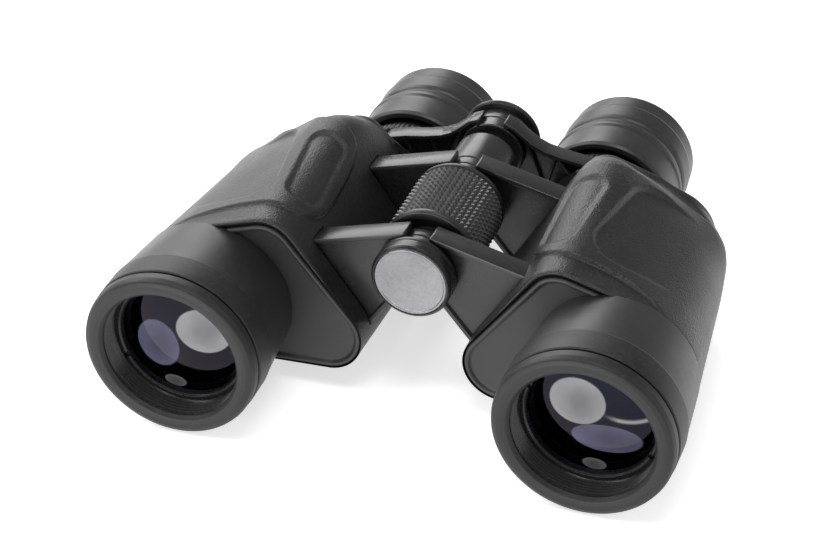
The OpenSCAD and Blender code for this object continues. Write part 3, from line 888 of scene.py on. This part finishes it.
def rear_cover(name, side):
    """A plate behind the prisms, with a raised edge and a sleeve for the eyepiece tube."""
    _, circles = form_at(105.4)
    circles = [(x, z, r - ARMOUR_T - 0.1) for x, z, r in circles]
    edge = even(belt(circles, FORM[-1][1] + ARMOUR_T), 300)
    rim_rows = [
        (0.2, 101.0), (0.0, 101.4), (0.0, 103.4), (0.3, 103.9), (0.9, 104.1), (1.6, 104.0),
        (2.0, 103.65), (2.4, 103.55),
    ]
    sleeve = [
        (13.9, 103.6), (13.2, 103.8), (12.9, 104.4), (12.85, 107.1), (12.5, 107.6),
        (11.75, 107.6), (11.5, 107.3), (11.5, 101.0),
    ]
    return cover(name, side, edge, EYEPIECE, 14.2, 0.1, rim_rows, sleeve, 40)


LUG_X, LUG_Z = OX + 9.5, 12.8


def lug_outline(grow):
    circles = [
        (LUG_X - 13, 88.0, 4.6 + grow), (LUG_X, 98.0, 4.6 + grow), (LUG_X - 16, 97.0, 4.6 + grow)
    ]
    return even(belt(circles, -99.0, soft=0.0), 160)


def flat_loop(outline, z):
    return np.c_[outline[:, 0], outline[:, 1], np.full(len(outline), z)]


def lug_block(name, grow, side):
    loops = [flat_loop(lug_outline(grow), LUG_Z - 1.5 - grow)]
    loops.append(flat_loop(lug_outline(grow), LUG_Z + 1.5 + grow))
    return loops_solid(name, loops, side)


def strap_lug(name, side):
    """A flat eye with soft edges and a rounded hole."""
    hole = (LUG_X, 98.0)
    angles = angles_from(hole, lug_outline(0))
    rows = [(lug_outline(g), z) for g, z in [(-0.6, 1.5), (-0.15, 1.3), (0, 0.8)]]
    bore = [(round_at(hole, r, angles), z) for r, z in [(2.4, 0.8), (2.6, 1.25), (3.0, 1.5)]]
    upper = rows + [(o, -z) for o, z in rows[::-1]]
    lower = [(o, -z) for o, z in bore[::-1]] + bore
    loops = [flat_loop(o, LUG_Z + z) for o, z in upper + lower]
    return loops_solid(name, loops, side, ends="join")


# ---------- hinge arms ----------

ARM_T = 7.0
ARM_FRONTS = (42.2, 83.5)
HINGE_Z = HINGE[1]
ARM_OUTLINE = [
    (3.8, HINGE_Z - 8), (7.8, HINGE_Z - 12.1, 2), (14.2, HINGE_Z - 20.4, 3),
    (20.5, HINGE_Z - 28.5, 2), (36, HINGE_Z - 28.5), (36, HINGE_Z + 3.3),
    (3.8, HINGE_Z + 11.9, 0.6),
]


def arm_block(name, front, back, grow, side):
    return block(name, inset(fillet(ARM_OUTLINE, 0.2), -grow), front, back, side)


def rod_block(name, axis, r, front, back, side=1):
    outline = [(0, front), (r, front), (r, back), (0, back)]
    return lathe(name, axis, outline, side, 96, radius=0)


LUG_R = 10.0
LAP_R = LUG_R + 0.35
LUG_CORE_R = LUG_R - 0.4  # the arm stops here, inside its lug


def hinge_lug(name, bore, front, back):
    """A bored lug with softened edges."""
    return lathe(name, HINGE, [
        (bore, front), (LUG_R - 0.3, front, 0.3), (LUG_R, front + 0.3, 0.2),
        (LUG_R, back - 0.3, 0.2), (LUG_R - 0.3, back, 0.3), (bore, back),
    ], radius=0.1)


def hinge_arm(name, side, front, bore):
    """An arm with a raised edge round its faces and a half-lapped lug round the hinge."""
    near = front if side < 0 else front + ARM_T / 2 + 0.1
    arm = plate(name, ARM_OUTLINE, 0.5, front, front + ARM_T, side, 0.25, 1.5, (0.9, 0.9))
    far = (front - 1, near) if side > 0 else (near + ARM_T / 2 - 0.1, front + ARM_T + 1)
    arm = cut(arm, [
        rod_block("lap", HINGE, LAP_R, *far),
        rod_block("bore", HINGE, LUG_CORE_R, front - 1, front + ARM_T + 1),
    ])
    return join(name, [arm, hinge_lug(f"{name}_lug", bore, near, near + ARM_T / 2 - 0.1)])


# ---------- bridge and eyepieces ----------

BRIDGE_FRONT, BRIDGE_BACK = node_stations("left_bridge_arm")
EX, EZ = EYEPIECE
BRIDGE_OUTLINE = [
    (3.8, HINGE_Z - 8), (7, HINGE_Z - 9.5, 2), (EX - 14, EZ + 8, 3), (EX - 4, EZ + 14.6, 3),
    (EX + 7, EZ + 15.4, 0.8), (EX + 3, EZ + 20.6, 2.5), (EX - 3.4, EZ + 22.2, 3),
    (22, HINGE_Z + 1.9, 5), (17, HINGE_Z + 3.1, 5), (13.5, HINGE_Z + 4.7, 5),
    (10.4, HINGE_Z + 7.1, 4), (7.3, HINGE_Z + 9.9, 3), (3.8, HINGE_Z + 11.4, 0.6),
]


def bridge_arm(name, side):
    """A swan neck with a band along its edge, a half-lapped lug and a ring round the tube."""
    half = (BRIDGE_BACK - BRIDGE_FRONT) / 2
    near = BRIDGE_FRONT + half + 0.1 if side > 0 else BRIDGE_FRONT
    lug_back = near + half - 0.1
    far = (BRIDGE_FRONT - 1, near) if side > 0 else (lug_back, BRIDGE_BACK + 1)
    neck_back = BRIDGE_BACK - 4.0
    arm = plate(name, BRIDGE_OUTLINE, 0.5, BRIDGE_FRONT, neck_back, side, 0.25, 1.3, (2.6, 1.0))
    arm = cut(arm, [
        rod_block("lap", HINGE, LAP_R, *far),
        rod_block("bore", HINGE, LUG_CORE_R, BRIDGE_FRONT - 1, BRIDGE_BACK + 1),
        rod_block("tube", EYEPIECE, 15.0, BRIDGE_FRONT - 1, BRIDGE_BACK + 1, side),
    ])
    lug = hinge_lug(f"{name}_lug", 4.6, near, lug_back)
    ring = lathe(f"{name}_ring", EYEPIECE, [
        (11.45, BRIDGE_FRONT + 2.4), (15.6, BRIDGE_FRONT + 2, 0.5), (17.0, BRIDGE_FRONT + 3, 0.8),
        (17.0, BRIDGE_BACK - 1.2, 0.8), (16.2, BRIDGE_BACK), (11.45, BRIDGE_BACK),
    ], side)
    return join(name, [arm, lug, ring])


def bridge_pocket(name, side):
    """Rough cast metal and a zigzag of ribs at the bottom of the bridge arm's pocket."""
    corners = inset(np.array([c[:2] for c in BRIDGE_OUTLINE], float), 1.8)
    bottom = BRIDGE_FRONT + 2.6
    pieces = [plate(name, [(*c, 1.0) for c in corners], 1.0, bottom - 0.3, bottom + 0.3, side, 0.1)]
    turns = [(10.5, 49.0), (16.5, 31.5), (20.5, 44.5), (26.5, 36.5), (29.0, 43.0)]
    for k, (a, b) in enumerate(zip(turns, turns[1:])):
        a, b = np.array(a), np.array(b)
        wide = np.array([a[1] - b[1], b[0] - a[0]]) / np.linalg.norm(b - a) * 0.5
        rib = [a - wide, b - wide, b + wide, a + wide]
        pieces.append(plate(f"{name}_{k}", rib, 0.1, bottom - 1.7, bottom + 0.2, side, 0.2))
    made = join(name, pieces)
    return cut(made, [
        rod_block("lap", HINGE, 10.4, BRIDGE_FRONT - 1, BRIDGE_BACK + 1),
        rod_block("tube", EYEPIECE, 15.2, BRIDGE_FRONT - 1, BRIDGE_BACK + 1, side),
    ])


def ribbed(name, axis, rows, ribs, side=1, per_rib=6, sharp=50):
    """Rows of [radius, station, rib depth] turned round an axis, with rounded ribs cut in."""
    angles = full_turn(ribs * per_rib)
    wave = (0.5 - 0.5 * np.cos(angles * ribs)) ** 1.5
    loops = [
        at_station(round_at(axis, r - depth * wave, angles), station) for r, station, depth in rows
    ]
    return loops_solid(name, loops, side, sharp, ends="join")


def collar(name, side):
    """The ribbed ring behind the bridge arm."""
    front, back = node_stations("left_eyepiece_collar")
    rows = [
        (11.5, front + 0.1, 0), (17.6, front, 0), (18.3, front + 0.25, 0.2),
        (18.6, front + 0.7, 0.45), (18.6, back - 1.2, 0.45), (18.35, back - 0.7, 0.2),
        (18.0, back - 0.4, 0), (17.4, back, 0), (11.5, back - 0.1, 0),
    ]
    return ribbed(name, EYEPIECE, rows, 72, side)


def sleeve(name, axis, node, inner, outer, side=1):
    """A plain round sleeve or washer as long as a node."""
    front, back = node_stations(node)
    outline = [(inner, front), (outer, front), (outer, back), (inner, back)]
    return lathe(name, axis, outline, side, 96, radius=0.15)


def tube(name, side):
    return sleeve(name, EYEPIECE, "left_eyepiece_tube", 10.25, 11.4, side)


def ocular_barrel(name, side):
    outline = [
        (9.2, 104), (10.15, 104), (10.15, 126.5), (17, 126.5), (17, 147), (11.9, 147),
        (11.5, 146.2), (10.8, 146.2), (10.8, 138), (9.2, 138),
    ]
    return lathe(name, EYEPIECE, outline, side, 96, radius=0.15)


def eyecup(name, side):
    """A fixed rubber eyecup: a plain band, a ridge, a groove and a tapering cup."""
    lip = CAD_BOX[1].y / MM - FRONT
    outline = [
        (19.3, 125.0, 0.2), (20.9, 125.0, 0.5), (21.6, 126.1, 0.8), (21.35, 131.5, 4),
        (21.2, 136.2, 1), (21.6, 137.3, 0.5), (21.6, 138.7, 0.5), (21.0, 139.9, 0.8),
        (20.75, 141.0, 0.4), (20.35, 141.6, 0.3), (20.35, 142.2, 0.3), (20.8, 142.8, 0.4),
        (21.1, 143.8, 1), (21.4, 149.2, 0.6), (21.1, 150.2, 0.4), (20.7, 150.7, 0.4),
        (20.75, lip - 1.6, 1.0), (19.9, lip, 0.9), (18.1, lip, 1.0), (16.7, lip - 2.0, 1.5),
        (14.2, 149.6, 1.5), (11.3, 148.4, 0.4), (11.3, 147.1, 0.1), (17.05, 147.1, 0.1),
        (17.05, 129.5), (19.3, 127.5),
    ]
    return lathe(name, EYEPIECE, outline, side, 144, radius=0.3, steps=4)


def eye_lens(name, side):
    front = lens_points(141.0, 0.8, 10.75, 8)
    back = lens_points(144.4, -1.6, 10.75, 12)
    return lathe(name, EYEPIECE, front + back[::-1], side, 96, radius=0.05)


def eye_ring(name, side):
    outline = [(9.8, 144.9), (10.75, 144.7), (10.75, 147.0), (10.2, 147.0), (9.8, 146.4)]
    return lathe(name, EYEPIECE, outline, side, 96, radius=0.1)


# ---------- hinge and focus ----------

WHEEL_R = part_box("focus_wheel_grip")[1].x / MM
WHEEL_FRONT, WHEEL_BACK = node_stations("focus_wheel_core")
CAP_FRONT, _ = node_stations("hinge_cap")


def shifted(outline, start):
    """An outline whose stations are counted from a start."""
    return [(r, start + station, *soft) for r, station, *soft in outline]


def wheel_core(name):
    """The wheel's hub, with a plain rim at each end and a dished face."""
    half = [
        (4.6, 0.9, 0), (7.4, 0.9, 0.3), (8.2, 1.4, 0.4), (10.6, 1.4, 0.4), (11.4, 0.3, 0.5),
        (12.4, 0.0, 0.4), (WHEEL_R - 0.9, 0.0, 0.5), (WHEEL_R - 0.25, 0.7, 0.4),
        (WHEEL_R - 0.25, 1.6, 0.1), (WHEEL_R - 0.8, 1.9, 0.1), (WHEEL_R - 0.8, 2.2, 0.1),
        (WHEEL_R - 3, 2.2, 0.1),
    ]
    outline = shifted(half, WHEEL_FRONT)
    outline += [(r, WHEEL_BACK - s, f) for r, s, f in reversed(half)]
    return lathe(name, HINGE, outline, 1, 144, radius=0.2)


def wheel_grip(name, rows=12, around=50, height=0.95):
    """A rubber sleeve covered in rows of four-sided pyramids."""
    front, back = WHEEL_FRONT + 2.2, WHEEL_BACK - 2.2
    pitch = (back - front) / rows
    angles = full_turn(around)

    def loop(r, station, turn=0.0):
        return at_station(round_at(HINGE, r, angles + turn), station)

    loops = [loop(WHEEL_R - height, front + pitch * k) for k in range(rows + 1)]
    loops += [loop(WHEEL_R - 3, back), loop(WHEEL_R - 3, front)]
    quads = grid_faces(len(loops), around, wrap_rows=True)
    tips = [loop(WHEEL_R, front + pitch * (k + 0.5), math.pi / around) for k in range(rows)]
    cells, faces = quads[: rows * around], quads[rows * around :]
    for k, corners in enumerate(cells):
        tip = len(loops) * around + k
        faces += [(corners[i], corners[(i + 1) % 4], tip) for i in range(4)]
    return solid(name, np.vstack(loops + tips), faces, sharp=12)


def hinge_cap(name):
    """A screw-in cap with a recess for its metal face."""
    outline = [
        (0, 0.6, 0), (11.2, 0.6, 0), (11.2, 0.1, 0.05), (11.5, 0.05, 0.1), (12.2, 0.8, 0.2),
        (12.2, 3.9, 0.05), (12.0, 4.05, 0.05), (12.0, 4.3, 0.05), (12.2, 4.45, 0.05),
        (12.2, 5.4, 0.3), (11.8, 5.8), (3.1, 5.8), (3.1, 12.0), (0, 12.0, 0),
    ]
    return lathe(name, HINGE, shifted(outline, CAP_FRONT), 1, 160, radius=0.2)


def cap_face(name):
    """The cap's brushed face, slightly dished inside a bright edge."""
    outline = [
        (0, 0.2, 0), (10.1, 0.2, 0.1), (10.4, 0.0, 0.1), (10.8, 0.0, 0.1), (11.15, 0.35, 0.05),
        (11.15, 0.55, 0), (0, 0.55, 0),
    ]
    return lathe(name, HINGE, shifted(outline, CAP_FRONT), 1, 160, radius=0.1)


def cap_washer(name):
    return sleeve(name, HINGE, "hinge_cap_washer", 3.3, 9.5)


def hinge_barrel(name):
    """The tube behind the middle arms that the spindle slides in."""
    front, back = node_stations("hinge_tube")
    outline = [
        (4.6, front), (6.4, front), (6.4, front + 7.2), (9.6, front + 7.2, 0.2),
        (10.0, front + 7.6, 0.2), (10.0, back - 1.6, 0.9), (8.8, back, 0.8), (5.2, back, 0.2),
        (4.6, back - 0.5, 0.1),
    ]
    return lathe(name, HINGE, outline, 1, 128, radius=0.2)


def spindle(name):
    front, back = node_stations("focus_spindle")
    turn = [(4.5, 1.0), (4.5, 2.0), (3.9, 2.3), (3.9, 3.1)]
    worm = [point for k in range(11) for point in shifted(turn, front + 2.4 * k)]
    outline = [(0, front), (4.2, front), *worm, (4.5, front + 28), (4.5, back), (0, back)]
    return lathe(name, HINGE, outline, 1, 96, radius=0.1)


def bridge_cap(name):
    front, back = node_stations("bridge_cap")
    outline = [
        (1.3, front), (11.8, front, 0.3), (12.4, front + 0.5, 0.3), (12.4, back - 1.0, 0.8),
        (11.2, back, 0.6), (9.0, back, 0.2), (8.7, back - 0.3, 0.1), (8.2, back - 0.3, 0.1),
        (7.9, back, 0.2), (3.3, back, 0.2), (3.1, back - 1.2), (1.3, back - 1.2),
    ]
    return lathe(name, HINGE, outline, 1, 128, radius=0.1)


# ---------- assembly ----------


def build_side(side_name, side):
    """Everything that one half of the pair has."""
    made = {
        "rubber_armour": armour, "prism_housing": shell, "front_cover": front_cover,
        "rear_cover": rear_cover, "strap_lug": strap_lug, "objective_barrel": barrel,
        "objective_rim": rim, "retaining_ring": retaining_ring, "bridge_arm": bridge_arm,
        "eyepiece_tube": tube, "ocular_barrel": ocular_barrel, "eyecup": eyecup,
        "eye_lens": eye_lens, "eye_lens_ring": eye_ring,
        "eyepiece_collar" if side > 0 else "dioptre_ring": collar,
    }
    for part, build in made.items():
        stands_for(build(f"{side_name}_{part}_look", side), f"{side_name}_{part}")
    band = barrel_band(f"{side_name}_barrel_band", side)
    stands_for(band, f"{side_name}_objective_barrel", "rim_rubber")
    bore = barrel_bore(f"{side_name}_barrel_bore", side)
    stands_for(bore, f"{side_name}_objective_barrel", "black_anodised")
    pocket = bridge_pocket(f"{side_name}_bridge_pocket", side)
    place(pocket, BODY[f"{side_name}_bridge_arm"], CAST, [f"{side_name}_bridge_arm"])
    lens = doublet(f"{side_name}_doublet", side)
    stands_for(lens, f"{side_name}_crown_lens")
    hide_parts(f"{side_name}_flint_lens")
    for place_name, front, bore in (("front", ARM_FRONTS[0], 5.05), ("middle", ARM_FRONTS[1], 6.55)):
        arm = hinge_arm(f"{side_name}_{place_name}_arm", side, front, bore)
        stands_for(arm, f"{side_name}_prism_housing")


def build_centre():
    centre = {
        "focus_wheel_core": wheel_core, "focus_wheel_grip": wheel_grip, "hinge_cap": hinge_cap,
        "hinge_cap_washer": cap_washer, "hinge_tube": hinge_barrel, "focus_spindle": spindle,
        "bridge_cap": bridge_cap,
    }
    for node_name, build in centre.items():
        stands_for(build(f"{node_name}_look"), node_name)
    stands_for(cap_face("hinge_cap_face"), "hinge_cap", "cap_metal")


def dress_cad():
    """The CAD nodes that stay get their slots' looks."""
    for name, cad in frame["nodes"].items():
        cad.data.materials.clear()
        cad.data.materials.append(LOOKS[SLOT_OF[name]])


dress_cad()
for side_name, side in SIDES.items():
    build_side(side_name, side)
build_centre()

# ---------- camera, floor and light ----------

AZIMUTH, ELEVATION, ROLL = 20.80, 34.40, -1.954  # degrees
CAMERA_AT = (0.22416, -0.62498, 0.47064)
FOCAL_LENGTH = 112.68


def aim(azimuth, elevation, roll=0.0):
    """The rotation of a camera or lamp that looks from angles in degrees, and the way back."""
    azimuth, elevation, roll = map(math.radians, (azimuth, elevation, roll))
    back = Vector((
        math.sin(azimuth) * math.cos(elevation),
        -math.cos(azimuth) * math.cos(elevation),
        math.sin(elevation),
    ))
    level = back.to_track_quat("Z", "Y").to_matrix()
    return level @ Matrix.Rotation(roll, 3, "Z"), back


def add_camera():
    lens = bpy.data.cameras.new("camera")
    lens.lens = FOCAL_LENGTH
    lens.sensor_width = 36.0
    lens.clip_start = 0.01
    lens.clip_end = 20.0
    camera = add_object("camera", lens)
    turn, _ = aim(AZIMUTH, ELEVATION, ROLL)
    camera.matrix_world = Matrix.Translation(CAMERA_AT) @ turn.to_4x4()
    bpy.context.scene.camera = camera


def softbox(name, azimuth, elevation, distance, size, power, target=(0, 0, 0.03)):
    """An area lamp that faces a point, with its size in metres."""
    lamp = bpy.data.lights.new(name, "AREA")
    lamp.shape = "RECTANGLE"
    lamp.size = size[0]
    lamp.size_y = size[1]
    lamp.energy = power
    held = add_object(name, lamp)
    turn, back = aim(azimuth, elevation)
    at = Vector(target) + back * distance
    held.matrix_world = Matrix.Translation(at) @ turn.to_4x4()


def add_stage():
    """A pale floor and an even pale surround."""
    half = 6.0
    mesh = bpy.data.meshes.new("floor")
    mesh.from_pydata(
        [(-half, -half, 0), (half, -half, 0), (half, half, 0), (-half, half, 0)], [], [(0, 1, 2, 3)]
    )
    floor = add_object("floor", mesh)
    pale = look("floor", 0.86, 0.7, tint=(1, 1, 1), mottle=0.01, grain=0.01, grain_size=3)
    shader = pale.node_tree.nodes["Principled BSDF"]
    shader.inputs["Emission Color"].default_value = (1, 1, 1, 1)
    shader.inputs["Emission Strength"].default_value = 0.6
    floor.data.materials.append(pale)
    world = bpy.data.worlds.new("surround")
    bpy.context.scene.world = world
    world.use_nodes = True
    world.node_tree.nodes["Background"].inputs["Color"].default_value = (1, 1, 1, 1)
    world.node_tree.nodes["Background"].inputs["Strength"].default_value = 0.36


add_camera()
add_stage()
softbox("key", -135, 32, 1.0, (1.0, 0.6), 8.5)
softbox("left_side", -75, 45, 1.1, (0.5, 0.8), 5)
softbox("right_side", 100, 30, 1.2, (0.4, 0.8), 1.5)
softbox("front_fill", -15, 7, 1.0, (0.9, 0.22), 6)
softbox("top_front", 25, 75, 1.0, (0.5, 0.3), 3)
bpy.context.scene.view_settings.view_transform = "Standard"
